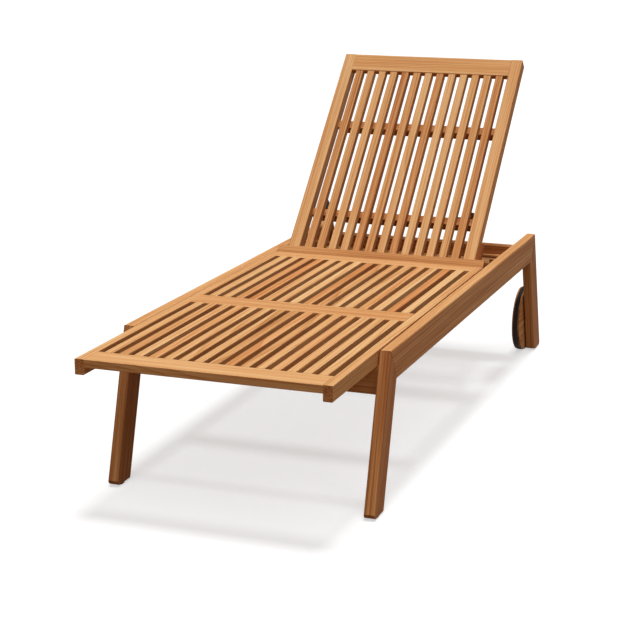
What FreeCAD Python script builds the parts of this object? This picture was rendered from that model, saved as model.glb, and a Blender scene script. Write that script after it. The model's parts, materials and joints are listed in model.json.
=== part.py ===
import FreeCAD, Part
import math
import os
import Sketcher
from FreeCAD import Placement, Rotation, Vector

# Slatted teak sun lounger with a reclining back and two wheels.
# X runs across the lounger, +Y from the foot end to the head end, +Z up; the floor is Z = 0.
# All lengths are in millimetres and all angles in degrees.

doc = FreeCAD.newDocument("sun_lounger")

# ---------------------------------------------------------------- driving sizes

SIZES = [
    # overall
    ("overall_width", 692), ("seat_height", 384), ("bed_gap", 3),
    ("leg_span", 1442.5), ("front_leg_setback", 310),
    # side rails and legs
    ("side_rail_depth", 80), ("side_rail_thick", 28), ("rail_round", 4),
    ("leg_width", 71), ("leg_rake", 16.5), ("leg_round", 5), ("heel_chamfer", 11), ("toe_chamfer", 5),
    ("pad_height", 5), ("pad_radius", 11), ("spline_side", 30), ("spline_thick", 8),
    # bed
    ("stile_width", 23), ("stile_depth", 38), ("flat_rail_thick", 20), ("end_rail_width", 73),
    ("mid_rail_start", 589), ("mid_rail_width", 80.5), ("rear_rail_start", 1185), ("board_round", 1.5),
    ("slat_width", 22), ("seat_slat_thick", 18),
    ("tenon_length", 12), ("tenon_thick", 8), ("tenon_shoulder", 2),
    ("cross_rail_thick", 22), ("cross_rail_depth", 70), ("cross_rail_inset", 2),
    ("rear_cross_thick", 36), ("rear_cross_depth", 40.5),
    ("rear_shelf_thick", 20), ("rear_shelf_width", 106),
    # backrest, measured from its pivot axis: along it and square to it
    ("pivot_start", 1261), ("pivot_drop", 18), ("recline", 45.7), ("back_gap", 33.5),
    ("back_stile_width", 34), ("back_stile_depth", 35), ("back_foot", 27), ("back_length", 722),
    ("top_rail_width", 61), ("top_rail_thick", 20), ("back_slat_thick", 22), ("back_slat_setback", 2),
    ("upper_batten_at", 482), ("upper_batten_width", 26), ("upper_batten_thick", 30),
    ("lower_batten_at", 156), ("lower_batten_width", 24), ("lower_batten_thick", 32),
    ("pivot_rail_proud", 3), ("pivot_rail_gap", 4), ("pivot_pin_radius", 5), ("pivot_pin_bite", 20),
    ("pivot_pin_hold", 40), ("cheek_thick", 9), ("cheek_length", 70), ("cheek_depth", 13),
    # prop and its rack
    ("prop_along", 205), ("prop_behind", 30), ("prop_length", 161), ("prop_swing", 102),
    ("prop_ratio", -2.24), ("arm_thick", 14), ("arm_width", 22), ("arm_inset", 16), ("foot_pin_radius", 6),
    ("bracket_thick", 4), ("bracket_length", 38), ("bracket_depth", 38), ("bracket_tail", 15),
    ("bracket_flange", 24), ("bolt_radius", 4), ("bolt_head_radius", 9), ("bolt_head_thick", 2.5),
    ("prop_bar_along", 45), ("prop_bar_side", 18),
    ("rack_thick", 28), ("rack_low", 308), ("rack_overrun", 18), ("notch_radius", 7), ("notch_depth", 3.5),
    # wheels
    ("wheel_radius", 98.5), ("wheel_thick", 22), ("tyre_radius", 100), ("tyre_depth", 9), ("tyre_width", 12),
    ("axle_radius", 6), ("axle_head_radius", 11), ("axle_head_thick", 4), ("axle_bite", 24),
    ("washer_thick", 3.5), ("washer_radius", 12),
    # dowels and fits
    ("dowel_radius", 5), ("dowel_bite", 16),
    ("running_gap", 0.08), ("glue_gap", 0.05), ("floor_gap", 1.5), ("swing_gap", 1.0), ("rack_gap", 1.6),
    ("side_gap", 0.5),
]
SEAT_SLATS = 15
BACK_SLATS = 13
NOTCH_STEP = 7.5
NOTCH_STEPS = range(-2, 3)
# Where the dowels stand, as parts of the bed's length, the front rail's depth and the rack's length.
STILE_DOWELS = (0.15, 0.55, 0.95)
CROSS_DOWELS = (0.15, 0.45)
RACK_DOWELS = (0.2, 0.8)
# Two directions whose dot product is over this count as parallel.
PARALLEL = 0.9999

sheet = doc.addObject("Spreadsheet::Sheet", "sizes")
for row, (word, number) in enumerate(SIZES, 1):
    sheet.set(f"A{row}", word)
    sheet.set(f"B{row}", str(number))
    sheet.setAlias(f"B{row}", word)
doc.recompute()


class Size:
    """A length or an angle, known as a number now and as the formula on the sheet that gives it."""

    def __init__(self, number, formula):
        self.number = number
        self.formula = formula

    @staticmethod
    def of(thing):
        return thing if isinstance(thing, Size) else Size(float(thing), repr(float(thing)))

    def joined(self, sign, other, number):
        return Size(number, f"({self.formula} {sign} {other.formula})")

    def __add__(self, other):
        other = Size.of(other)
        return self.joined("+", other, self.number + other.number)

    def __sub__(self, other):
        other = Size.of(other)
        return self.joined("-", other, self.number - other.number)

    def __mul__(self, other):
        other = Size.of(other)
        return self.joined("*", other, self.number * other.number)

    def __truediv__(self, other):
        other = Size.of(other)
        return self.joined("/", other, self.number / other.number)

    def __neg__(self):
        return self * -1

    def __radd__(self, other):
        return Size.of(other) + self

    def __rsub__(self, other):
        return Size.of(other) - self

    def __rmul__(self, other):
        return Size.of(other) * self

    def turned(self, name):
        return Size(getattr(math, name)(math.radians(self.number)), f"{name}({self.formula})")


def size(word):
    return Size(float(getattr(sheet, word)), f"sizes.{word}")


def cos(angle):
    return angle.turned("cos")


def sin(angle):
    return angle.turned("sin")


def tan(angle):
    return angle.turned("tan")


ZERO = Size.of(0)


class Frame:
    """A place and turn in the side view (Y, Z): outlines drawn in it follow its origin and angle."""

    def __init__(self, y=ZERO, z=ZERO, angle=ZERO):
        self.y, self.z, self.angle = y, z, angle

    def point(self, along, square):
        """Where a point of this frame lies in the side view."""
        return (self.y + along * cos(self.angle) - square * sin(self.angle),
                self.z + along * sin(self.angle) + square * cos(self.angle))


def bind(thing, path, value):
    thing.setExpression(path, value.formula)


# A piece's body lies with its own X, Y, Z along the lounger's Y, Z, X: outlines are side views.
SIDE_VIEW = Rotation(Vector(1, 1, 1), 120)


class Piece:
    """One separate solid: side-view outlines padded or cut across the lounger, from `x_from` on."""

    def __init__(self, label, x_from, frame=Frame()):
        self.frame = frame
        self.x_from = x_from
        self.body = doc.addObject("PartDesign::Body", label)
        self.body.Label = label
        self.body.Placement = Placement(Vector(), SIDE_VIEW)
        bind(self.body, "Placement.Base.x", x_from)
        self.z_axis = next(o for o in self.body.Origin.OriginFeatures if o.Role == "Z_Axis")

    def sketch(self, x_from):
        made = self.body.newObject("Sketcher::SketchObject", self.body.Name + "_outline")
        plane = next(o for o in self.body.Origin.OriginFeatures if o.Role == "XY_Plane")
        made.AttachmentSupport = (plane, [""])
        made.MapMode = "FlatFace"
        made.AttachmentOffset = Placement(Vector(), Rotation(Vector(0, 0, 1), 1))
        bind(made, "AttachmentOffset.Base.x", self.frame.y)
        bind(made, "AttachmentOffset.Base.y", self.frame.z)
        bind(made, "AttachmentOffset.Base.z", x_from - self.x_from)
        bind(made, "AttachmentOffset.Rotation.Angle", self.frame.angle)
        return made

    @staticmethod
    def tie(made, kind, geometry, vertex, value):
        index = made.addConstraint(Sketcher.Constraint(kind, -1, 1, geometry, vertex, value.number))
        made.setExpression(f"Constraints[{index}]", value.formula)

    def polygon(self, x_from, points):
        made = self.sketch(x_from)
        corners = [Vector(u.number, v.number, 0) for u, v in points]
        for corner, following in zip(corners, corners[1:] + corners[:1]):
            made.addGeometry(Part.LineSegment(corner, following))
        for index, (u, v) in enumerate(points):
            made.addConstraint(Sketcher.Constraint("Coincident", index, 2, (index + 1) % len(points), 1))
            self.tie(made, "DistanceX", index, 1, u)
            self.tie(made, "DistanceY", index, 1, v)
        return made

    def circles(self, x_from, centre, radii):
        made = self.sketch(x_from)
        for index, radius in enumerate(radii):
            at = Vector(centre[0].number, centre[1].number, 0)
            made.addGeometry(Part.Circle(at, Vector(0, 0, 1), radius.number))
            self.tie(made, "DistanceX", index, 3, centre[0])
            self.tie(made, "DistanceY", index, 3, centre[1])
            held = made.addConstraint(Sketcher.Constraint("Radius", index, radius.number))
            made.setExpression(f"Constraints[{held}]", radius.formula)
        return made

    def feature(self, kind, profile, thick):
        made = self.body.newObject(kind, self.body.Name + "_" + kind.split("::")[1].lower())
        made.Profile = profile
        bind(made, "Length", thick)
        made.Reversed = kind == "PartDesign::Pocket"
        profile.Visibility = False
        self.body.Tip = made
        return made

    def pad(self, x_from, points, thick):
        self.feature("PartDesign::Pad", self.polygon(x_from, points), thick)
        return self

    def cut(self, x_from, points, thick):
        self.feature("PartDesign::Pocket", self.polygon(x_from, points), thick)
        return self

    def rod(self, x_from, centre, radii, thick):
        self.feature("PartDesign::Pad", self.circles(x_from, centre, radii), thick)
        return self

    def bore(self, x_from, centre, radius, thick):
        self.feature("PartDesign::Pocket", self.circles(x_from, centre, [radius]), thick)
        return self

    def repeat(self, count, pitch):
        """Repeats the last feature across the lounger."""
        repeated = self.body.Tip
        row = self.body.newObject("PartDesign::LinearPattern", self.body.Name + "_row")
        row.Originals = [repeated]
        row.Direction = (self.z_axis, [""])
        bind(row, "Length", pitch * (count - 1))
        row.Occurrences = count
        self.body.Tip = row
        return self

    def round_long_edges(self, direction, radius):
        """Rounds the edges that run along a direction given in the piece's own frame."""
        doc.recompute()
        turn = math.radians(self.frame.angle.number)
        u, v, w = direction
        along = Vector(u * math.cos(turn) - v * math.sin(turn), u * math.sin(turn) + v * math.cos(turn), w)
        along.normalize()
        base = self.body.Tip
        names = []
        for index, edge in enumerate(base.Shape.Edges, 1):
            if edge.Curve.TypeId != "Part::GeomLine":
                continue
            if abs(edge.tangentAt(edge.FirstParameter).dot(along)) > PARALLEL:
                names.append(f"Edge{index}")
        rounded = self.body.newObject("PartDesign::Fillet", self.body.Name + "_fillet")
        rounded.Base = (base, names)
        bind(rounded, "Radius", radius)
        self.body.Tip = rounded
        return self


def box(u_from, u_to, v_from, v_to):
    return [(u_from, v_from), (u_to, v_from), (u_to, v_to), (u_from, v_to)]


ALONG, UP, ACROSS = (1, 0, 0), (0, 1, 0), (0, 0, 1)
SIDES = (("left", -1), ("right", 1))


def inner_to_outer(side, inner, thick):
    """The X where a piece starts that spans from `inner` outwards by `thick`, on the given side."""
    return inner if side > 0 else -(inner + thick)


handed_in = []


def keep(label, pieces=None):
    """Puts a node on the list that is written; several pieces share it as one group of separate solids."""
    if pieces:
        group = doc.addObject("Part::Compound", label)
        group.Label = label
        group.Links = [piece.body for piece in pieces]
        handed_in.append(group)
    else:
        handed_in.append(doc.getObject(label))


# ---------------------------------------------------------------- places worked out from the sizes

seat_top = size("seat_height")
axle_z = size("tyre_radius") + size("floor_gap")
axle_lean = (seat_top - axle_z) * tan(size("leg_rake")) - size("leg_width") / 2 / cos(size("leg_rake"))
overall_length = size("front_leg_setback") + size("leg_span") + axle_lean + size("tyre_radius")
foot_end = -overall_length / 2
half_width = size("overall_width") / 2
side_inner = half_width - size("side_rail_thick")
bed_half = side_inner - size("bed_gap")
bed_inner = bed_half - size("stile_width")
rail_low = seat_top - size("side_rail_depth")
front_corner = foot_end + size("front_leg_setback")
rear_corner = front_corner + size("leg_span")
rear_rail_from = foot_end + size("rear_rail_start")
pivot_y = foot_end + size("pivot_start")
pivot_z = seat_top - size("pivot_drop")
pivot_rail_radius = size("pivot_drop") + size("pivot_rail_proud")
bed_end = pivot_y - pivot_rail_radius - size("swing_gap")
leg_foot = size("pad_height")

back_half = side_inner - size("back_gap")
back_inner = back_half - size("back_stile_width")
back_top = size("back_foot") + size("back_length")
back_face = size("pivot_drop")
back_rear = back_face - size("back_stile_depth")
arm_outer = back_inner - size("arm_inset")
arm_inner = arm_outer - size("arm_thick")
BACK = Frame(pivot_y, pivot_z, size("recline"))


def prop_frame(offset):
    """The prop's frame when the backrest has turned by `offset` degrees from rest."""
    back = Frame(pivot_y, pivot_z, size("recline") + offset)
    y, z = back.point(size("prop_along"), -size("prop_behind"))
    return Frame(y, z, back.angle - size("prop_swing") + size("prop_ratio") * offset)


PROP = prop_frame(ZERO)


# ---------------------------------------------------------------- legs and side rails

def leg_line(corner, way, z, across):
    """Y of a leg's edge at height z; `across` is 0 on the outer edge and leg_width on the inner one."""
    lean = (seat_top - z) * tan(size("leg_rake")) - across / cos(size("leg_rake"))
    return corner - way * lean


def leg_outline(corner, way):
    width, toe, heel = size("leg_width"), size("toe_chamfer"), size("heel_chamfer")
    return [
        (corner, seat_top),
        (leg_line(corner, way, rail_low, width), rail_low),
        (leg_line(corner, way, leg_foot + toe, width), leg_foot + toe),
        (leg_line(corner, way, leg_foot, width) - way * toe, leg_foot),
        (leg_line(corner, way, leg_foot, ZERO) + way * heel, leg_foot),
        (leg_line(corner, way, leg_foot + heel, ZERO), leg_foot + heel),
    ]


LEGS = (("front", front_corner, 1), ("rear", rear_corner, -1))


def spline_box(corner, way):
    """The loose tenon that crosses a mitre: a square about the middle of the mitre line."""
    middle_y = (corner + leg_line(corner, way, rail_low, size("leg_width"))) / 2
    middle_z = (seat_top + rail_low) / 2
    half = size("spline_side") / 2

    def outline(gap):
        reach = half + gap
        return box(middle_y - reach, middle_y + reach, middle_z - reach, middle_z + reach)
    return outline


legs, side_rails, splines = {}, {}, []
spline_from = (size("side_rail_thick") - size("spline_thick")) / 2
for side_name, side in SIDES:
    rail = Piece(f"side_rail_{side_name}", inner_to_outer(side, side_inner, size("side_rail_thick")))
    rail.pad(rail.x_from, [
        (front_corner, seat_top),
        (leg_line(front_corner, 1, rail_low, size("leg_width")), rail_low),
        (leg_line(rear_corner, -1, rail_low, size("leg_width")), rail_low),
        (rear_corner, seat_top),
    ], size("side_rail_thick"))
    rail.round_long_edges(ALONG, size("rail_round"))
    side_rails[side] = rail
    for end_name, corner, way in LEGS:
        leg = Piece(f"{end_name}_leg_{side_name}", rail.x_from)
        leg.pad(leg.x_from, leg_outline(corner, way), size("side_rail_thick"))
        rake = math.radians(size("leg_rake").number)
        leg.round_long_edges((way * math.sin(rake), math.cos(rake), 0), size("leg_round"))
        crossing = spline_box(corner, way)
        for part in (rail, leg):
            part.cut(rail.x_from + spline_from - size("glue_gap"), crossing(size("glue_gap")),
                     size("spline_thick") + 2 * size("glue_gap"))
        spline = Piece(f"spline_{end_name}_{side_name}", rail.x_from + spline_from)
        splines.append(spline.pad(spline.x_from, crossing(ZERO), size("spline_thick")))
        legs[end_name, side] = leg
        keep(f"{end_name}_leg_{side_name}")

        foot_y = leg_line(corner, way, leg_foot, size("leg_width") / 2)
        pad = Piece(f"foot_pad_{end_name}_{side_name}", rail.x_from)
        reach = size("pad_radius")
        pad.pad(rail.x_from + (size("side_rail_thick") / 2 - reach),
                box(foot_y - reach, foot_y + reach, ZERO, leg_foot), 2 * reach)
        pad.round_long_edges(UP, reach / 2)
        keep(f"foot_pad_{end_name}_{side_name}")
    keep(f"side_rail_{side_name}")
keep("mitre_splines", splines)


# ---------------------------------------------------------------- bed frame and seat slats

stile_low = seat_top - size("stile_depth")
flat_low = seat_top - size("flat_rail_thick")
seat_pitch = (2 * bed_inner - SEAT_SLATS * size("slat_width")) / (SEAT_SLATS + 1) + size("slat_width")
seat_first = -bed_inner + seat_pitch - size("slat_width")
tenon_middle = seat_top - size("flat_rail_thick") / 2
tenon_gap = size("glue_gap")

stiles = {}
for side_name, side in SIDES:
    stile = Piece(f"bed_stile_{side_name}", inner_to_outer(side, bed_inner, size("stile_width")))
    stile.pad(stile.x_from, box(foot_end, bed_end, stile_low, seat_top), size("stile_width"))
    stile.round_long_edges(ALONG, size("board_round"))
    stiles[side] = stile
    keep(f"bed_stile_{side_name}")


def mortise_row(piece, edge, way, first, pitch, count, middle):
    """Mortises for the slat tenons, cut into the edge of a rail; `way` points into the rail."""
    deep = size("tenon_length") + tenon_gap
    low = middle - size("tenon_thick") / 2 - tenon_gap
    high = middle + size("tenon_thick") / 2 + tenon_gap
    start = first + size("tenon_shoulder") - tenon_gap
    wide = size("slat_width") - 2 * size("tenon_shoulder") + 2 * tenon_gap
    outline = box(edge, edge + deep, low, high) if way > 0 else box(edge - deep, edge, low, high)
    piece.cut(start, outline, wide)
    piece.repeat(count, pitch)


def slat(label, x_from, start, end, low, high, middle, frame):
    """A slat with a tenon at each end."""
    made = Piece(label, x_from, frame)
    made.pad(x_from, box(start, end, low, high), size("slat_width"))
    made.round_long_edges(ALONG, size("board_round"))
    made.pad(x_from + size("tenon_shoulder"),
             box(start - size("tenon_length"), end + size("tenon_length"),
                 middle - size("tenon_thick") / 2, middle + size("tenon_thick") / 2),
             size("slat_width") - 2 * size("tenon_shoulder"))
    return made


mid_from = foot_end + size("mid_rail_start")
mid_to = mid_from + size("mid_rail_width")
BED_RAILS = (
    ("foot_end_rail", foot_end, foot_end + size("end_rail_width")),
    ("middle_rail", mid_from, mid_to),
    ("seat_rear_rail", rear_rail_from, bed_end),
)
for label, start, end in BED_RAILS:
    rail = Piece(label, -bed_inner)
    rail.pad(rail.x_from, box(start, end, flat_low, seat_top), 2 * bed_inner)
    rail.round_long_edges(ACROSS, size("board_round"))
    if label != "foot_end_rail":
        mortise_row(rail, start, 1, seat_first, seat_pitch, SEAT_SLATS, tenon_middle)
    if label != "seat_rear_rail":
        mortise_row(rail, end, -1, seat_first, seat_pitch, SEAT_SLATS, tenon_middle)
    keep(label)

PANELS = (("front", BED_RAILS[0][2], mid_from), ("rear", mid_to, rear_rail_from))
for panel, start, end in PANELS:
    row = []
    for number in range(SEAT_SLATS):
        row.append(slat(f"seat_slat_{panel}_{number + 1:02d}", seat_first + seat_pitch * number, start, end,
                        seat_top - size("seat_slat_thick"), seat_top, tenon_middle, Frame()))
    keep(f"seat_slats_{panel}", row)


# ---------------------------------------------------------------- cross rails, rear shelf and racks

cross_high = stile_low
cross_low = cross_high - size("cross_rail_depth")
cross_from = leg_line(front_corner, 1, cross_high, ZERO) + size("cross_rail_inset") + size("leg_round")
cross_to = cross_from + size("cross_rail_thick")
front_cross = Piece("front_cross_rail", -side_inner)
front_cross.pad(-side_inner, box(cross_from, cross_to, cross_low, cross_high), 2 * side_inner)
front_cross.round_long_edges(ACROSS, size("board_round"))
keep("front_cross_rail")

rear_cross_high = seat_top - size("back_stile_depth") - size("side_gap")
rear_cross_low = rear_cross_high - size("rear_cross_depth")
rear_cross_to = pivot_y + size("upper_batten_at") - size("swing_gap")
rear_cross_from = rear_cross_to - size("rear_cross_thick")
rear_cross = Piece("rear_cross_rail", -side_inner)
rear_cross.pad(-side_inner, box(rear_cross_from, rear_cross_to, rear_cross_low, rear_cross_high),
               2 * side_inner)
rear_cross.round_long_edges(ACROSS, size("rail_round"))
keep("rear_cross_rail")

shelf_low = rear_cross_low - size("rear_shelf_thick")
shelf_middle = rear_cross_low - size("rear_shelf_thick") / 2
rear_shelf = Piece("rear_shelf_rail", -side_inner)
rear_shelf.pad(-side_inner, box(rear_cross_to - size("rear_shelf_width"), rear_cross_to, shelf_low,
                                rear_cross_low), 2 * side_inner)
rear_shelf.round_long_edges(ACROSS, size("board_round"))
keep("rear_shelf_rail")

# The rack's top edge runs just under the path of the prop's foot pins.
pin_frames = [prop_frame(Size.of(NOTCH_STEP * step)) for step in NOTCH_STEPS]
pin_places = [frame.point(size("prop_length"), ZERO) for frame in pin_frames]
low_pin, high_pin = pin_places[0], pin_places[-1]
rack_slope = (high_pin[1] - low_pin[1]) / (low_pin[0] - high_pin[0])
rack_drop = size("foot_pin_radius") + size("rack_gap")
rack_from = high_pin[0] - size("rack_overrun")
rack_to = low_pin[0] + size("rack_overrun")
rack_high = high_pin[1] - rack_drop + rack_slope * size("rack_overrun")
rack_rear = low_pin[1] - rack_drop - rack_slope * size("rack_overrun")
rack_inner = side_inner - size("rack_thick")
racks = {}
for side_name, side in SIDES:
    rack = Piece(f"prop_rack_{side_name}", inner_to_outer(side, rack_inner, size("rack_thick")))
    rack.pad(rack.x_from, [
        (rack_from, size("rack_low")),
        (rack_to, size("rack_low")),
        (rack_to, rack_rear),
        (rack_from, rack_high),
    ], size("rack_thick"))
    for pin_y, pin_z in pin_places:
        seat_z = pin_z - rack_drop - size("notch_depth") + size("notch_radius")
        rack.bore(rack.x_from, (pin_y, seat_z), size("notch_radius"), size("rack_thick"))
    racks[side] = rack
    keep(f"prop_rack_{side_name}")

# Dowels along X: each is shared by the piece inside and the piece outside of the joint.
DOWEL_ROWS = []
stile_middle = seat_top - size("stile_depth") / 2
for part_of_bed in STILE_DOWELS:
    y = leg_line(front_corner, 1, stile_low, size("leg_width")) * (1 - part_of_bed) + bed_end * part_of_bed
    DOWEL_ROWS.append(("stile", y, stile_middle, bed_half))
for part_of_depth in CROSS_DOWELS:
    z = cross_low + size("cross_rail_depth") * part_of_depth
    DOWEL_ROWS.append(("front_cross", cross_from + size("cross_rail_thick") / 2, z, side_inner))
for joint, z in (("rear_cross", rear_cross_low + size("dowel_radius") * 2), ("rear_shelf", shelf_middle)):
    DOWEL_ROWS.append((joint, (rear_cross_from + rear_cross_to) / 2, z, side_inner))
for part_of_rack in RACK_DOWELS:
    y = rack_from * (1 - part_of_rack) + rack_to * part_of_rack
    DOWEL_ROWS.append(("rack", y, size("rack_low") + size("dowel_radius") * 2, side_inner))

dowels = []
for side_name, side in SIDES:
    joined = {
        "stile": (stiles[side], side_rails[side]),
        "front_cross": (front_cross, legs["front", side]),
        "rear_cross": (rear_cross, legs["rear", side]),
        "rear_shelf": (rear_shelf, legs["rear", side]),
        "rack": (racks[side], side_rails[side]),
    }
    for number, (joint, y, z, face) in enumerate(DOWEL_ROWS):
        length = 2 * size("dowel_bite") + side_inner - face
        hole_length = length + 2 * size("glue_gap")
        start = inner_to_outer(side, face - size("dowel_bite"), length)
        hole_from = inner_to_outer(side, face - size("dowel_bite") - size("glue_gap"), hole_length)
        for part in joined[joint]:
            part.bore(hole_from, (y, z), size("dowel_radius") + size("glue_gap"), hole_length)
        dowel = Piece(f"dowel_{side_name}_{number:02d}", start)
        dowels.append(dowel.rod(start, (y, z), [size("dowel_radius")], length))
keep("frame_dowels", dowels)


# ---------------------------------------------------------------- backrest

back_foot = size("back_foot")
stile_tenon = size("back_stile_depth") / 4
for side_name, side in SIDES:
    stile_from = inner_to_outer(side, back_inner, size("back_stile_width"))
    stile = Piece(f"back_stile_{side_name}", stile_from, BACK)
    stile.pad(stile_from, box(back_foot, back_top, back_rear, back_face), size("back_stile_width"))
    stile.round_long_edges(ALONG, size("rail_round") / 2)
    stile.pad(stile_from + size("back_stile_width") / 4,
              box(back_foot - size("tenon_length"), back_foot, -stile_tenon, stile_tenon),
              size("back_stile_width") / 2)
    keep(f"back_stile_{side_name}")

    cheek = Piece(f"back_cheek_{side_name}", inner_to_outer(side, back_half, size("cheek_thick")), BACK)
    cheek.pad(cheek.x_from, box(back_foot, back_foot + size("cheek_length"),
                                back_rear, back_rear + size("cheek_depth")), size("cheek_thick"))
    cheek.round_long_edges(ACROSS, size("board_round"))
    keep(f"back_cheek_{side_name}")

back_pitch = (2 * back_inner - BACK_SLATS * size("slat_width")) / (BACK_SLATS + 1) + size("slat_width")
back_first = -back_inner + back_pitch - size("slat_width")
slat_front = back_face - size("back_slat_setback")
slat_rear = slat_front - size("back_slat_thick")
back_middle = (slat_front + slat_rear) / 2

top_rail_from = back_top - size("top_rail_width")
top_rail = Piece("back_top_rail", -back_inner, BACK)
top_rail.pad(-back_inner, box(top_rail_from, back_top, back_face - size("top_rail_thick"), back_face),
             2 * back_inner)
top_rail.round_long_edges(ACROSS, size("rail_round") / 2)
mortise_row(top_rail, top_rail_from, 1, back_first, back_pitch, BACK_SLATS, back_middle)
keep("back_top_rail")

pivot_half = side_inner - size("pivot_rail_gap")
pivot_rail = Piece("back_pivot_rail", -pivot_half, BACK)
pivot_rail.pad(-pivot_half, box(ZERO, back_foot, -pivot_rail_radius, pivot_rail_radius), 2 * pivot_half)
pivot_rail.round_long_edges(ACROSS, size("board_round"))
pivot_rail.rod(-pivot_half, (ZERO, ZERO), [pivot_rail_radius], 2 * pivot_half)
mortise_row(pivot_rail, back_foot, -1, back_first, back_pitch, BACK_SLATS, back_middle)
pins = []
for side_name, side in SIDES:
    stile_from = inner_to_outer(side, back_inner, size("back_stile_width"))
    slot = stile_tenon + tenon_gap
    pivot_rail.cut(stile_from + size("back_stile_width") / 4 - tenon_gap,
                   box(back_foot - size("tenon_length") - tenon_gap, back_foot, -slot, slot),
                   size("back_stile_width") / 2 + 2 * tenon_gap)
    pin_from = pivot_half - size("pivot_pin_hold")
    pin_length = size("pivot_pin_hold") + size("pivot_rail_gap") + size("pivot_pin_bite")
    start = inner_to_outer(side, pin_from, pin_length)
    pivot_rail.bore(start, (ZERO, ZERO), size("pivot_pin_radius"), pin_length)
    pin = Piece(f"pivot_pin_{side_name}", start, BACK)
    pins.append(pin.rod(start, (ZERO, ZERO), [size("pivot_pin_radius")], pin_length))
    blind = size("pivot_pin_bite") + size("running_gap")
    side_rails[side].bore(inner_to_outer(side, side_inner, blind), (pivot_y, pivot_z),
                          size("pivot_pin_radius") + size("running_gap"), blind)
keep("back_pivot_rail")
keep("pivot_pins", pins)

for place in ("upper", "lower"):
    start = size(f"{place}_batten_at")
    batten_rear = slat_rear - size(f"{place}_batten_thick")
    batten = Piece(f"back_batten_{place}", -back_inner, BACK)
    batten.pad(-back_inner, box(start, start + size(f"{place}_batten_width"), batten_rear, slat_rear),
               2 * back_inner)
    batten.round_long_edges(ACROSS, size("board_round"))
    keep(f"back_batten_{place}")

for number in range(BACK_SLATS):
    label = f"back_slat_{number + 1:02d}"
    slat(label, back_first + back_pitch * number, back_foot, top_rail_from, slat_rear, slat_front,
         back_middle, BACK)
    keep(label)


# ---------------------------------------------------------------- prop and its brackets

pin_reach = side_inner - 2 * size("swing_gap") - arm_inner
bolts, foot_pins = [], []
at_bolt = (size("prop_along"), -size("prop_behind"))
bracket_from = size("lower_batten_at") + size("lower_batten_width")
bracket_low = -size("prop_behind") - size("bracket_tail")
bracket_high = bracket_low + size("bracket_depth")
plate_from = arm_inner - size("side_gap") - size("bracket_thick")
bolt_length = size("bracket_thick") + size("arm_thick") + 2 * size("side_gap")
head_from = plate_from + bolt_length
for side_name, side in SIDES:
    plate_at = inner_to_outer(side, plate_from, size("bracket_thick"))
    bracket = Piece(f"prop_bracket_{side_name}", plate_at, BACK)
    bracket.pad(plate_at, box(bracket_from, bracket_from + size("bracket_length"),
                              bracket_low, bracket_high), size("bracket_thick"))
    bracket.round_long_edges(ACROSS, size("board_round"))
    bracket.pad(inner_to_outer(side, plate_from - size("bracket_flange"), size("bracket_flange")),
                box(bracket_from, bracket_from + size("bracket_thick"), -size("prop_behind"), bracket_high),
                size("bracket_flange"))
    bracket.bore(plate_at, at_bolt, size("bolt_radius"), size("bracket_thick"))
    keep(f"prop_bracket_{side_name}")

    bolt = Piece(f"prop_bolt_{side_name}",
                 inner_to_outer(side, plate_from, bolt_length + size("bolt_head_thick")), BACK)
    bolt.rod(inner_to_outer(side, head_from, size("bolt_head_thick")), at_bolt, [size("bolt_head_radius")],
             size("bolt_head_thick"))
    bolt.rod(inner_to_outer(side, plate_from, bolt_length), at_bolt, [size("bolt_radius")], bolt_length)
    bolts.append(bolt)

    arm = Piece(f"prop_arm_{side_name}", inner_to_outer(side, arm_inner, size("arm_thick")), PROP)
    half = size("arm_width") / 2
    arm.pad(arm.x_from, box(ZERO, size("prop_length"), -half, half), size("arm_thick"))
    for along in (ZERO, size("prop_length")):
        arm.rod(arm.x_from, (along, ZERO), [half], size("arm_thick"))
    arm.bore(arm.x_from, (ZERO, ZERO), size("bolt_radius") + size("running_gap"), size("arm_thick"))
    arm.bore(arm.x_from, (size("prop_length"), ZERO), size("foot_pin_radius"), size("arm_thick"))
    keep(f"prop_arm_{side_name}")

    foot_pin = Piece(f"foot_pin_{side_name}", inner_to_outer(side, arm_inner, pin_reach), PROP)
    foot_pin.rod(foot_pin.x_from, (size("prop_length"), ZERO), [size("foot_pin_radius")], pin_reach)
    foot_pins.append(foot_pin)
keep("prop_bolts", bolts)
keep("prop_foot_pins", foot_pins)

half = size("prop_bar_side") / 2
bar_along = size("prop_bar_along")
prop_bar = Piece("prop_crossbar", -arm_inner, PROP)
prop_bar.pad(-arm_inner, box(bar_along - half, bar_along + half, -half, half), 2 * arm_inner)
prop_bar.round_long_edges(ACROSS, size("board_round"))
keep("prop_crossbar")


# ---------------------------------------------------------------- wheels

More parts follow.
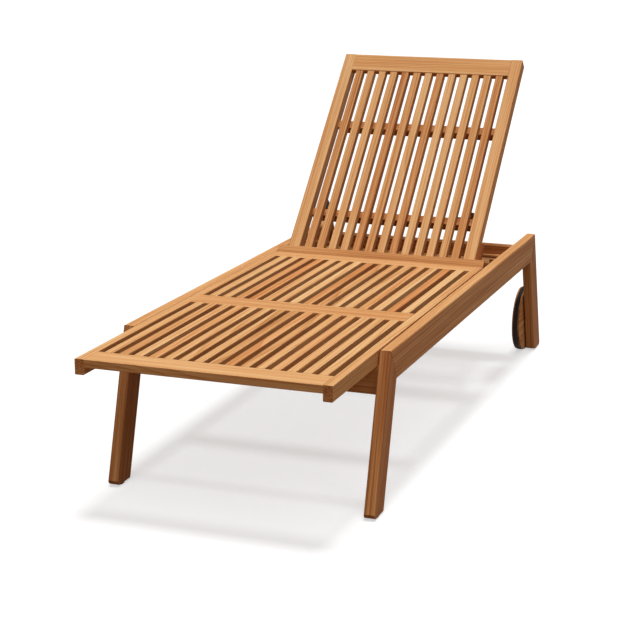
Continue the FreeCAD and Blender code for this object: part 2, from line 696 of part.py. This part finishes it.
hub = (rear_corner + axle_lean, axle_z)
flange = (size("wheel_thick") - size("tyre_width")) / 2
wheel_inner = side_inner - size("washer_thick") - size("wheel_thick")
core_radius = size("tyre_radius") - size("tyre_depth")
axle_bolts, washers = [], []
for side_name, side in SIDES:
    disc = Piece(f"wheel_disc_{side_name}", inner_to_outer(side, wheel_inner, size("wheel_thick")))
    disc.rod(disc.x_from, hub, [size("wheel_radius")], flange)
    disc.rod(disc.x_from + flange, hub, [core_radius], size("tyre_width"))
    disc.rod(disc.x_from + flange + size("tyre_width"), hub, [size("wheel_radius")], flange)
    disc.bore(disc.x_from, hub, size("axle_radius") + size("running_gap"), size("wheel_thick"))
    keep(f"wheel_disc_{side_name}")
    tyre = Piece(f"wheel_tyre_{side_name}", disc.x_from + flange)
    tyre.rod(tyre.x_from, hub, [size("tyre_radius"), core_radius], size("tyre_width"))
    keep(f"wheel_tyre_{side_name}")

    head_from = wheel_inner - size("side_gap") - size("axle_head_thick")
    shank = size("side_gap") + size("wheel_thick") + size("washer_thick") + size("axle_bite")
    axle = Piece(f"axle_bolt_{side_name}", inner_to_outer(side, head_from, size("axle_head_thick") + shank))
    axle.rod(inner_to_outer(side, head_from, size("axle_head_thick")), hub, [size("axle_head_radius")],
             size("axle_head_thick"))
    axle.rod(inner_to_outer(side, wheel_inner - size("side_gap"), shank), hub, [size("axle_radius")], shank)
    axle_bolts.append(axle)
    legs["rear", side].bore(inner_to_outer(side, side_inner, size("axle_bite")), hub, size("axle_radius"),
                            size("axle_bite"))
    thick = size("washer_thick") - size("side_gap")
    washer = Piece(f"axle_washer_{side_name}", inner_to_outer(side, side_inner - thick, thick))
    washers.append(washer.rod(washer.x_from, hub, [size("washer_radius"), size("axle_radius")], thick))
keep("axle_bolts", axle_bolts)
keep("axle_washers", washers)


# ---------------------------------------------------------------- check and write

doc.recompute()
for thing in doc.Objects:
    if "Invalid" in thing.State or "Error" in thing.State:
        raise RuntimeError(f"{thing.Label} did not build: {thing.State}")
for node in handed_in:
    if node.Shape.isNull() or not node.Shape.isValid():
        raise RuntimeError(f"{node.Label} has no valid shape")

os.makedirs("parts", exist_ok=True)
for node in handed_in:
    node.Shape.exportStep(f"parts/{node.Label}.step")
print(len(handed_in), "nodes written")
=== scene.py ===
import json
import math
import bpy
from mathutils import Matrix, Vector


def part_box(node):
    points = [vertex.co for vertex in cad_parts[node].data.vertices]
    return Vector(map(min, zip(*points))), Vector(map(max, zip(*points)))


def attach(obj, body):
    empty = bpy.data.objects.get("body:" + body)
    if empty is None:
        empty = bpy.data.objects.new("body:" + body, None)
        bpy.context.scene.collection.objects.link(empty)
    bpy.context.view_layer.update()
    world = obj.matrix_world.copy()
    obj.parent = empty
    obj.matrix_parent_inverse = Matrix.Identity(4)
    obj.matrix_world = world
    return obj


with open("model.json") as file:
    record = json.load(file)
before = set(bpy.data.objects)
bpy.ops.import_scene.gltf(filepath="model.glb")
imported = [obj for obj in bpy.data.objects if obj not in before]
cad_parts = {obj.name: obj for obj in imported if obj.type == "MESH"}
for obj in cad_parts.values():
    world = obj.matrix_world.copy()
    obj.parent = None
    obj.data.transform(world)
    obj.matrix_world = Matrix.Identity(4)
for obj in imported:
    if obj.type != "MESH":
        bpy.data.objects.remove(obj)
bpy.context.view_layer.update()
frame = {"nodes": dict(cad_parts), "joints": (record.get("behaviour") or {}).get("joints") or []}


# ---- Camera -------------------------------------------------------------------------------
# It stands in front of the foot end, a little to the lounger's right and above head height of
# someone seated, and looks slightly down along the bed to the raised back.

camera_data = bpy.data.cameras.new("camera")
camera_data.sensor_width = 36.0
camera_data.lens = 96.01
camera = bpy.data.objects.new("camera", camera_data)
camera.location = (1.51604, -4.26509, 1.44561)
camera.rotation_euler = (math.radians(90 - 14.476), 0, math.radians(20.417))
bpy.context.scene.collection.objects.link(camera)
bpy.context.scene.camera = camera
bpy.context.scene.view_settings.view_transform = "Standard"


# ---- Floor, lamps and sky -----------------------------------------------------------------
# A matt white studio floor under a broad overhead lamp and a wide soft one high in front, to
# the right. Seen directly, floor and sky are white, and the lounger's shadow stays on the floor.

class Wire:
    """An output socket of a finish."""

    def __init__(self, finish, socket):
        self.finish = finish
        self.socket = socket

    def math(self, operation, *others):
        return self.finish.node("ShaderNodeMath", {"operation": operation}, dict(enumerate((self, *others))))

    def __add__(self, other):
        return self.math("ADD", other)

    def __sub__(self, other):
        return self.math("SUBTRACT", other)

    def __rsub__(self, other):
        return self.finish.node("ShaderNodeMath", {"operation": "SUBTRACT"}, {0: other, 1: self})

    def __mul__(self, other):
        return self.math("MULTIPLY", other)

    def __truediv__(self, other):
        return self.math("DIVIDE", other)

    __radd__ = __add__
    __rmul__ = __mul__


class Finish:
    """A material under construction; node() adds any node and returns one of its outputs."""

    def __init__(self, name):
        self.material = bpy.data.materials.new(name)
        self.material.use_nodes = True
        self.tree = self.material.node_tree
        self.tree.nodes.clear()

    def node(self, kind, settings, inputs, output=0):
        made = self.tree.nodes.new(kind)
        for key, value in settings.items():
            if key == "stops":
                fill_ramp(made.color_ramp, value)
            else:
                setattr(made, key, value)
        for key, value in inputs.items():
            if isinstance(value, Wire):
                self.tree.links.new(value.socket, made.inputs[key])
            else:
                made.inputs[key].default_value = value
        return Wire(self, made.outputs[output])

    def close(self, surface):
        result = self.tree.nodes.new("ShaderNodeOutputMaterial")
        self.tree.links.new(surface.socket, result.inputs["Surface"])
        return self.material


def fill_ramp(ramp, stops):
    while len(ramp.elements) < len(stops):
        ramp.elements.new(1.0)
    for element, (position, colour) in zip(ramp.elements, stops):
        element.position = position
        element.color = (*colour, 1.0)


def studio_floor():
    finish = Finish("studio_white")
    path = ("ShaderNodeLightPath", {}, {})
    seen = finish.node(*path, "Is Camera Ray")
    seen = seen.math("MAXIMUM", finish.node(*path, "Is Glossy Ray"))
    seen = seen.math("MAXIMUM", finish.node(*path, "Is Transmission Ray"))
    bounce = finish.node("ShaderNodeBsdfDiffuse", {}, {"Color": (0.18, 0.125, 0.085, 1)})
    matt = finish.node("ShaderNodeBsdfDiffuse", {}, {"Color": (0.475, 0.487, 0.502, 1)})
    glow = finish.node("ShaderNodeEmission", {}, {"Color": (1, 1, 1, 1), "Strength": 0.575})
    shown = finish.node("ShaderNodeAddShader", {}, {0: matt, 1: glow})
    return finish.close(finish.node("ShaderNodeMixShader", {}, {0: seen, 1: bounce, 2: shown}))


floor_mesh = bpy.data.meshes.new("floor")
FLOOR_HALF = 30.0
floor_mesh.from_pydata([(-FLOOR_HALF, -FLOOR_HALF, 0), (FLOOR_HALF, -FLOOR_HALF, 0),
                        (FLOOR_HALF, FLOOR_HALF, 0), (-FLOOR_HALF, FLOOR_HALF, 0)], [], [(0, 1, 2, 3)])
floor_mesh.materials.append(studio_floor())
floor = bpy.data.objects.new("floor", floor_mesh)
bpy.context.scene.collection.objects.link(floor)


def lamp(name, direction, strength, spread):
    """A lamp far off in the given direction; `spread` is how wide it looks from the lounger."""
    data = bpy.data.lights.new(name, "SUN")
    data.energy = strength * math.pi
    data.angle = math.radians(spread)
    made = bpy.data.objects.new(name, data)
    made.rotation_euler = Vector(direction).to_track_quat("Z", "Y").to_euler()
    bpy.context.scene.collection.objects.link(made)


lamp("overhead_lamp", (0.03, 0.05, 1.0), 0.72, 13.0)
lamp("front_lamp", (0.50, -0.62, 1.3), 0.30, 50.0)

sky = bpy.data.worlds.new("studio_sky")
sky.use_nodes = True
bpy.context.scene.world = sky
sky_tree = sky.node_tree
sky_tree.nodes.clear()
sky_path = sky_tree.nodes.new("ShaderNodeLightPath")
sky_seen = sky_tree.nodes.new("ShaderNodeMath")
sky_seen.operation = "MAXIMUM"
sky_tree.links.new(sky_path.outputs["Is Camera Ray"], sky_seen.inputs[0])
sky_tree.links.new(sky_path.outputs["Is Transmission Ray"], sky_seen.inputs[1])
sky_light = sky_tree.nodes.new("ShaderNodeBackground")
sky_light.inputs["Color"].default_value = (1.0, 0.74, 0.54, 1)
sky_light.inputs["Strength"].default_value = 0.19
sky_white = sky_tree.nodes.new("ShaderNodeBackground")
sky_white.inputs["Color"].default_value = (1, 1, 1, 1)
sky_mix = sky_tree.nodes.new("ShaderNodeMixShader")
sky_tree.links.new(sky_seen.outputs[0], sky_mix.inputs[0])
sky_tree.links.new(sky_light.outputs[0], sky_mix.inputs[1])
sky_tree.links.new(sky_white.outputs[0], sky_mix.inputs[2])
sky_output = sky_tree.nodes.new("ShaderNodeOutputWorld")
sky_tree.links.new(sky_mix.outputs[0], sky_output.inputs["Surface"])


# ---- Side frames ---------------------------------------------------------------------------
# Each side is a deep teak rail mitred onto two raked teak legs, glued with a hidden spline.
# Oiled plantation teak: straight honey grain with darker red-brown late wood and fine pores.

ACROSS, ALONG, UP = Vector((1, 0, 0)), Vector((0, 1, 0)), Vector((0, 0, 1))


def dot(finish, vector, axis):
    return finish.node("ShaderNodeVectorMath", {"operation": "DOT_PRODUCT"}, {0: vector, 1: axis}, "Value")


TEAK_STOPS = [(0.0, (0.080, 0.020, 0.006)), (0.25, (0.23, 0.072, 0.022)), (0.45, (0.42, 0.160, 0.055)),
              (0.65, (0.58, 0.280, 0.108)), (0.82, (0.70, 0.400, 0.175)), (1.0, (0.79, 0.52, 0.265))]


def teak(name, along, face, seed, tone, strips=None, seams=(), lit_face=None):
    """Teak whose grain runs `along`, in object space; `face` is square to its widest side.

    `strips` is (first edge, pitch) across X for a row of separate slats that share one node: each
    slat then comes from another plank and has its own tone. Each of `seams` is the plane of a
    glued joint, (point, direction), which shows as a hairline. The faces square to the last
    argument, or else to `face`, are the palest; all other faces get painted shade, up to 0.12
    darker the more they turn away, standing in for the light that falls on them."""
    finish = Finish(name)
    along = Vector(along).normalized()
    face = Vector(face).normalized()
    place = finish.node("ShaderNodeTexCoord", {}, {}, "Object")
    normal = finish.node("ShaderNodeTexCoord", {}, {}, "Normal")
    length = dot(finish, place, along)
    width = dot(finish, place, along.cross(face))
    depth = dot(finish, place, face)
    plank = seed * 3.71
    shade = tone
    red = 0.10 + 0.25 * ((seed * 0.618) % 1.0)
    if strips:
        first, pitch = strips
        index = ((dot(finish, place, ACROSS) - first) / pitch).math("FLOOR")
        plank = index * 5.37 + seed * 3.71
        chance = {"noise_dimensions": "1D"}
        shade = finish.node("ShaderNodeTexWhiteNoise", chance, {"W": index + seed * 11.3}, "Value") * 0.20 + (tone - 0.10)
        red = finish.node("ShaderNodeTexWhiteNoise", chance, {"W": index + seed * 7.9}, "Value")
        red = (red * 1.2 - 0.5).math("MAXIMUM", 0.0)

    def cloud(stretch, scale, detail, roughness=0.5):
        where = finish.node("ShaderNodeCombineXYZ", {}, {0: length * stretch + plank, 1: width * scale, 2: depth * scale})
        return finish.node("ShaderNodeTexNoise", {"noise_dimensions": "3D"},
                           {"Vector": where, "Scale": 1.0, "Detail": detail, "Roughness": roughness}, "Fac") - 0.5

    wander = cloud(1.3, 7.0, 1.0)
    reach = width + wander * 0.05
    heart = depth + 0.055 + cloud(0.7, 3.0, 1.0) * 0.05
    radius = (reach * reach + heart * heart).math("SQRT")
    rings = (radius * 165.0 + wander * 2.0).math("FRACT")
    late_wood = rings * rings * rings
    blotch = cloud(1.1, 26.0, 2.0)
    streak = cloud(1.6, 190.0, 2.0, 0.6)
    fibre = cloud(6.0, 640.0, 2.0, 0.6)
    pores = (cloud(45.0, 1900.0, 1.0) - 0.14).math("MAXIMUM", 0.0) * 5.0
    end = (dot(finish, normal, along).math("ABSOLUTE") * 6.0 - 4.5).math("MINIMUM", 1.0).math("MAXIMUM", 0.0)
    # Painted shade: faces turned away from the last argument, or else from `face`, are darkened by up to 0.12,
    # standing in for less light falling on them.
    edge = dot(finish, normal, lit_face or face).math("ABSOLUTE") * -1.0 + 1.0
    value = blotch * 0.50 + streak * 0.62 + fibre * 0.46 - late_wood * 0.20 - pores * 0.16
    value = value + shade + 0.05 - end * 0.16 - edge * 0.12
    for point, direction in seams:
        aside = (dot(finish, place, direction) - point.dot(direction)).math("ABSOLUTE")
        value = value - (aside * -1100.0 + 1.0).math("MAXIMUM", 0.0) * 0.55
    colour = finish.node("ShaderNodeValToRGB", {"stops": TEAK_STOPS}, {0: value}, "Color")
    colour = finish.node("ShaderNodeMix", {"data_type": "RGBA", "blend_type": "MULTIPLY"},
                         {0: red, 6: colour, 7: (0.90, 0.66, 0.52, 1)}, 2)
    roughness = fibre * 0.2 + late_wood * 0.06 + end * 0.15 + 0.52
    height = streak * 0.4 + fibre * 0.6 - late_wood * 0.3 - pores * 0.6
    bump = finish.node("ShaderNodeBump", {}, {"Strength": 0.4, "Distance": 0.0005, "Height": height}, "Normal")
    surface = finish.node("ShaderNodeBsdfPrincipled", {}, {
        "Base Color": colour, "Roughness": roughness, "Normal": bump, "Specular IOR Level": 0.02})
    return finish.close(surface)


def dress(node, material, *more):
    """Gives a CAD piece its finish."""
    slots = frame["nodes"][node].data.materials
    slots.clear()
    for made in (material, *more):
        slots.append(made)


LEG_RAKE = math.radians(16.5)
LEG_WIDTH = 0.071
for number, side in enumerate(("left", "right")):
    low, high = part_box(f"side_rail_{side}")
    mitre_run = LEG_WIDTH / math.cos(LEG_RAKE) - (high.z - low.z) * math.tan(LEG_RAKE)
    mitres = {}
    for end, way, corner in (("front", 1, low.y), ("rear", -1, high.y)):
        square = Vector((0, high.z - low.z, way * mitre_run)).normalized()
        mitres[end] = (Vector((0, corner, high.z)), square)
        grain = Vector((0, way * math.sin(LEG_RAKE), math.cos(LEG_RAKE)))
        # The faces square to UP stay palest; every other face of the legs and rails gets painted shade.
        dress(f"{end}_leg_{side}", teak(f"teak_{end}_leg_{side}", grain, ACROSS, 3 + number + 2 * way, 0.70,
                                        seams=[mitres[end]], lit_face=UP))
    dress(f"side_rail_{side}", teak(f"teak_side_rail_{side}", ALONG, ACROSS, 1 + number, 0.78,
                                    seams=list(mitres.values()), lit_face=UP))
dress("mitre_splines", teak("teak_splines", UP, ACROSS, 9, 0.55))


# ---- Feet ----------------------------------------------------------------------------------
# A small black rubber pad is nailed under each leg.

def rubber(name, shade, roughness):
    finish = Finish(name)
    place = finish.node("ShaderNodeTexCoord", {}, {}, "Object")
    speck = finish.node("ShaderNodeTexNoise", {}, {"Vector": place, "Scale": 900.0, "Detail": 3.0}, "Fac")
    dust = finish.node("ShaderNodeTexNoise", {}, {"Vector": place, "Scale": 45.0, "Detail": 4.0}, "Fac")
    colour = finish.node("ShaderNodeValToRGB", {"stops": [(0.35, (shade, shade, shade * 1.05)),
                                                          (0.8, (shade * 2.4, shade * 2.3, shade * 2.2))]},
                         {0: dust * 0.7 + speck * 0.3}, "Color")
    bump = finish.node("ShaderNodeBump", {}, {"Strength": 0.3, "Distance": 0.0003, "Height": speck}, "Normal")
    return finish.close(finish.node("ShaderNodeBsdfPrincipled", {}, {
        "Base Color": colour, "Roughness": dust * 0.15 + roughness, "Normal": bump, "Specular IOR Level": 0.3}))


foot_rubber = rubber("foot_rubber", 0.012, 0.62)
for end in ("front", "rear"):
    for side in ("left", "right"):
        dress(f"foot_pad_{end}_{side}", foot_rubber)


# ---- Bed frame -----------------------------------------------------------------------------
# Two stiles and three flat rails of teak, flush on top, with the slats tenoned into the rails.

for number, side in enumerate(("left", "right")):
    dress(f"bed_stile_{side}", teak(f"teak_bed_stile_{side}", ALONG, UP, 12 + number, 0.82))
dress("foot_end_rail", teak("teak_foot_end_rail", ACROSS, UP, 15, 0.82))
dress("middle_rail", teak("teak_middle_rail", ACROSS, UP, 16, 0.76))
dress("seat_rear_rail", teak("teak_seat_rear_rail", ACROSS, UP, 17, 0.80))


# ---- Seat slats ----------------------------------------------------------------------------
# Fifteen slats to a panel, ripped from different planks, so that each has its own tone.

def slat_row(node, count):
    """(edge before the first slat, pitch) of a row of equal slats across X."""
    low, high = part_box(node)
    slat = 0.022
    pitch = (high.x - low.x - slat) / (count - 1)
    return low.x - (pitch - slat) / 2, pitch


for number, panel in enumerate(("front", "rear")):
    node = f"seat_slats_{panel}"
    dress(node, teak(f"teak_{node}", ALONG, UP, 21 + 4 * number, 0.80, slat_row(node, 15)))


# ---- Cross rails, shelf, racks and dowels --------------------------------------------------
# The front rail stands on edge between the legs. The rear one carries the back when it is flat,
# on a flat shelf rail, and the prop's notched racks are fixed inside the side rails.

dress("front_cross_rail", teak("teak_front_cross_rail", ACROSS, ALONG, 31, 0.60))
dress("rear_cross_rail", teak("teak_rear_cross_rail", ACROSS, UP, 32, 0.66))
dress("rear_shelf_rail", teak("teak_rear_shelf_rail", ACROSS, UP, 35, 0.80))
for number, side in enumerate(("left", "right")):
    dress(f"prop_rack_{side}", teak(f"teak_prop_rack_{side}", ALONG, ACROSS, 33 + number, 0.70))
dress("frame_dowels", teak("beech_dowels", ACROSS, UP, 37, 0.80))


# ---- Backrest ------------------------------------------------------------------------------
# A frame of two stiles and a top rail with thirteen slats, all tenoned into the rounded rail
# that turns on steel pins between the side rails. Two battens tie the slats together behind.

hinge = next(joint for joint in frame["joints"] if joint["name"] == "backrest_recline")
RECLINE = math.radians(-hinge["range_deg"][0])
slope = Vector((0, math.cos(RECLINE), math.sin(RECLINE)))
rise = Vector((0, -math.sin(RECLINE), math.cos(RECLINE)))
for number, side in enumerate(("left", "right")):
    dress(f"back_stile_{side}", teak(f"teak_back_stile_{side}", slope, rise, 41 + number, 0.83))
    # The cheeks' tone of 0.34, far below the rest, is painted shade: they sit in shade beside the stiles.
    dress(f"back_cheek_{side}", teak(f"teak_back_cheek_{side}", slope, ACROSS, 43 + number, 0.34))
dress("back_top_rail", teak("teak_back_top_rail", ACROSS, rise, 45, 0.83))
dress("back_pivot_rail", teak("teak_back_pivot_rail", ACROSS, rise, 46, 0.66))
dress("back_batten_upper", teak("teak_back_batten_upper", ACROSS, rise, 47, 0.60))
dress("back_batten_lower", teak("teak_back_batten_lower", ACROSS, rise, 48, 0.58))
BACK_SLAT_TONES = (0.74, 0.72, 0.84, 0.80, 0.66, 0.70, 0.82, 0.76, 0.84, 0.80, 0.78, 0.82, 0.66)
for number, slat_tone in enumerate(BACK_SLAT_TONES, 1):
    node = f"back_slat_{number:02d}"
    dress(node, teak(f"teak_{node}", slope, rise, 50 + number, slat_tone))


# ---- Prop ----------------------------------------------------------------------------------
# Two teak arms and a crossbar swing under the back on black coated steel bolts and brackets,
# and stand with hardwood foot pins in the racks.

def black_steel(name):
    finish = Finish(name)
    place = finish.node("ShaderNodeTexCoord", {}, {}, "Object")
    peel = finish.node("ShaderNodeTexNoise", {}, {"Vector": place, "Scale": 700.0, "Detail": 2.0}, "Fac")
    smear = finish.node("ShaderNodeTexNoise", {}, {"Vector": place, "Scale": 60.0, "Detail": 4.0}, "Fac")
    colour = finish.node("ShaderNodeValToRGB", {"stops": [(0.3, (0.006, 0.005, 0.005)), (0.8, (0.020, 0.018, 0.017))]},
                         {0: smear}, "Color")
    bump = finish.node("ShaderNodeBump", {}, {"Strength": 0.2, "Distance": 0.0002, "Height": peel}, "Normal")
    return finish.close(finish.node("ShaderNodeBsdfPrincipled", {}, {
        "Base Color": colour, "Roughness": smear * 0.25 + 0.42, "Normal": bump, "Specular IOR Level": 0.08}))


steel = black_steel("black_coated_steel")
swing = RECLINE - math.radians(102)
prop_line = Vector((0, math.cos(swing), math.sin(swing)))
for number, side in enumerate(("left", "right")):
    dress(f"prop_arm_{side}", teak(f"teak_prop_arm_{side}", prop_line, ACROSS, 71 + number, 0.56))
    dress(f"prop_bracket_{side}", steel)
dress("prop_crossbar", teak("teak_prop_crossbar", ACROSS, prop_line, 73, 0.58))
dress("prop_foot_pins", teak("teak_foot_pins", ACROSS, prop_line, 74, 0.70))
for node in ("prop_bolts", "pivot_pins", "axle_bolts", "axle_washers"):
    dress(node, steel)


# ---- Wheels --------------------------------------------------------------------------------
# Turned teak discs with a black rubber ring let into the rim, on a bolt through each rear leg.

tyre_rubber = rubber("tyre_rubber", 0.014, 0.70)
for number, side in enumerate(("left", "right")):
    dress(f"wheel_disc_{side}", teak(f"teak_wheel_disc_{side}", ALONG, ACROSS, 81 + number, 0.76))
    dress(f"wheel_tyre_{side}", tyre_rubber)


# ---- Screws --------------------------------------------------------------------------------
# Pan-head screws with a hexagon socket hold the battens to each slat and the brackets to the
# stiles; only the battens' screws are made here. One tree sets a screw on every point of a row.

def screw_tree():
    tree = bpy.data.node_groups.new("screw_row", "GeometryNodeTree")
    tree.interface.new_socket("Geometry", in_out="INPUT", socket_type="NodeSocketGeometry")
    for name in ("Head radius", "Head height"):
        tree.interface.new_socket(name, in_out="INPUT", socket_type="NodeSocketFloat")
    tree.interface.new_socket("Turn", in_out="INPUT", socket_type="NodeSocketRotation")
    tree.interface.new_socket("Finish", in_out="INPUT", socket_type="NodeSocketMaterial")
    tree.interface.new_socket("Geometry", in_out="OUTPUT", socket_type="NodeSocketGeometry")

    def add(kind, settings, links):
        made = tree.nodes.new(kind)
        for key, value in settings.items():
            setattr(made, key, value)
        for key, value in links.items():
            if isinstance(value, bpy.types.NodeSocket):
                tree.links.new(value, made.inputs[key])
            else:
                made.inputs[key].default_value = value
        return made

    asked = tree.nodes.new("NodeGroupInput").outputs
    crown = add("ShaderNodeMath", {"operation": "MULTIPLY"}, {0: asked["Head radius"], 1: 0.72})
    socket_depth = add("ShaderNodeMath", {"operation": "MULTIPLY"}, {0: asked["Head height"], 1: -0.6})
    head = add("GeometryNodeMeshCone", {}, {"Vertices": 18, "Radius Top": crown.outputs[0],
                                            "Radius Bottom": asked["Head radius"], "Depth": asked["Head height"]})
    rim = add("GeometryNodeExtrudeMesh", {"mode": "FACES"}, {"Mesh": head.outputs["Mesh"],
                                                             "Selection": head.outputs["Top"], "Offset Scale": 0.0})
    narrowed = add("GeometryNodeScaleElements", {}, {"Geometry": rim.outputs["Mesh"],
                                                     "Selection": rim.outputs["Top"], "Scale": 0.55})
    recess = add("GeometryNodeExtrudeMesh", {"mode": "FACES"}, {"Mesh": narrowed.outputs["Geometry"],
                                                                "Selection": rim.outputs["Top"],
                                                                "Offset Scale": socket_depth.outputs[0]})
    row = add("GeometryNodeInstanceOnPoints", {}, {"Points": asked["Geometry"], "Instance": recess.outputs["Mesh"],
                                                   "Rotation": asked["Turn"]})
    real = add("GeometryNodeRealizeInstances", {}, {"Geometry": row.outputs["Instances"]})
    dressed = add("GeometryNodeSetMaterial", {}, {"Geometry": real.outputs["Geometry"], "Material": asked["Finish"]})
    result = tree.nodes.new("NodeGroupOutput")
    tree.links.new(dressed.outputs["Geometry"], result.inputs["Geometry"])
    return tree


screws = screw_tree()


def screw_row(name, points, outward, body, radius=0.0038, height=0.0022):
    """Screws with their heads' undersides on the given points, facing `outward`."""
    seeds = bpy.data.meshes.new(name + "_points")
    seeds.from_pydata(points, [], [])
    maker = bpy.data.objects.new(name + "_maker", seeds)
    bpy.context.scene.collection.objects.link(maker)
    modifier = maker.modifiers.new("screws", "NODES")
    modifier.node_group = screws
    turn = outward.to_track_quat("Z", "Y").to_euler()
    values = {"Head radius": radius, "Head height": height, "Turn": turn, "Finish": steel}
    for item in screws.interface.items_tree:
        if item.in_out == "INPUT" and item.name in values:
            modifier[item.identifier] = values[item.name]
    graph = bpy.context.evaluated_depsgraph_get()
    mesh = bpy.data.meshes.new_from_object(maker.evaluated_get(graph))
    bpy.data.objects.remove(maker)
    made = bpy.data.objects.new(name, mesh)
    bpy.context.scene.collection.objects.link(made)
    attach(made, body)
    return made


axis = Vector(hinge["pos_m"])
slat_middles = []
for number in range(1, len(BACK_SLAT_TONES) + 1):
    low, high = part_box(f"back_slat_{number:02d}")
    slat_middles.append((low.x + high.x) / 2)
BATTENS = {"upper": (0.495, -0.036), "lower": (0.168, -0.038)}
for place, (along, behind) in BATTENS.items():
    middle = axis + slope * along + rise * behind
    screw_row(f"batten_screws_{place}", [(x, middle.y, middle.z) for x in slat_middles], -rise, "backrest")
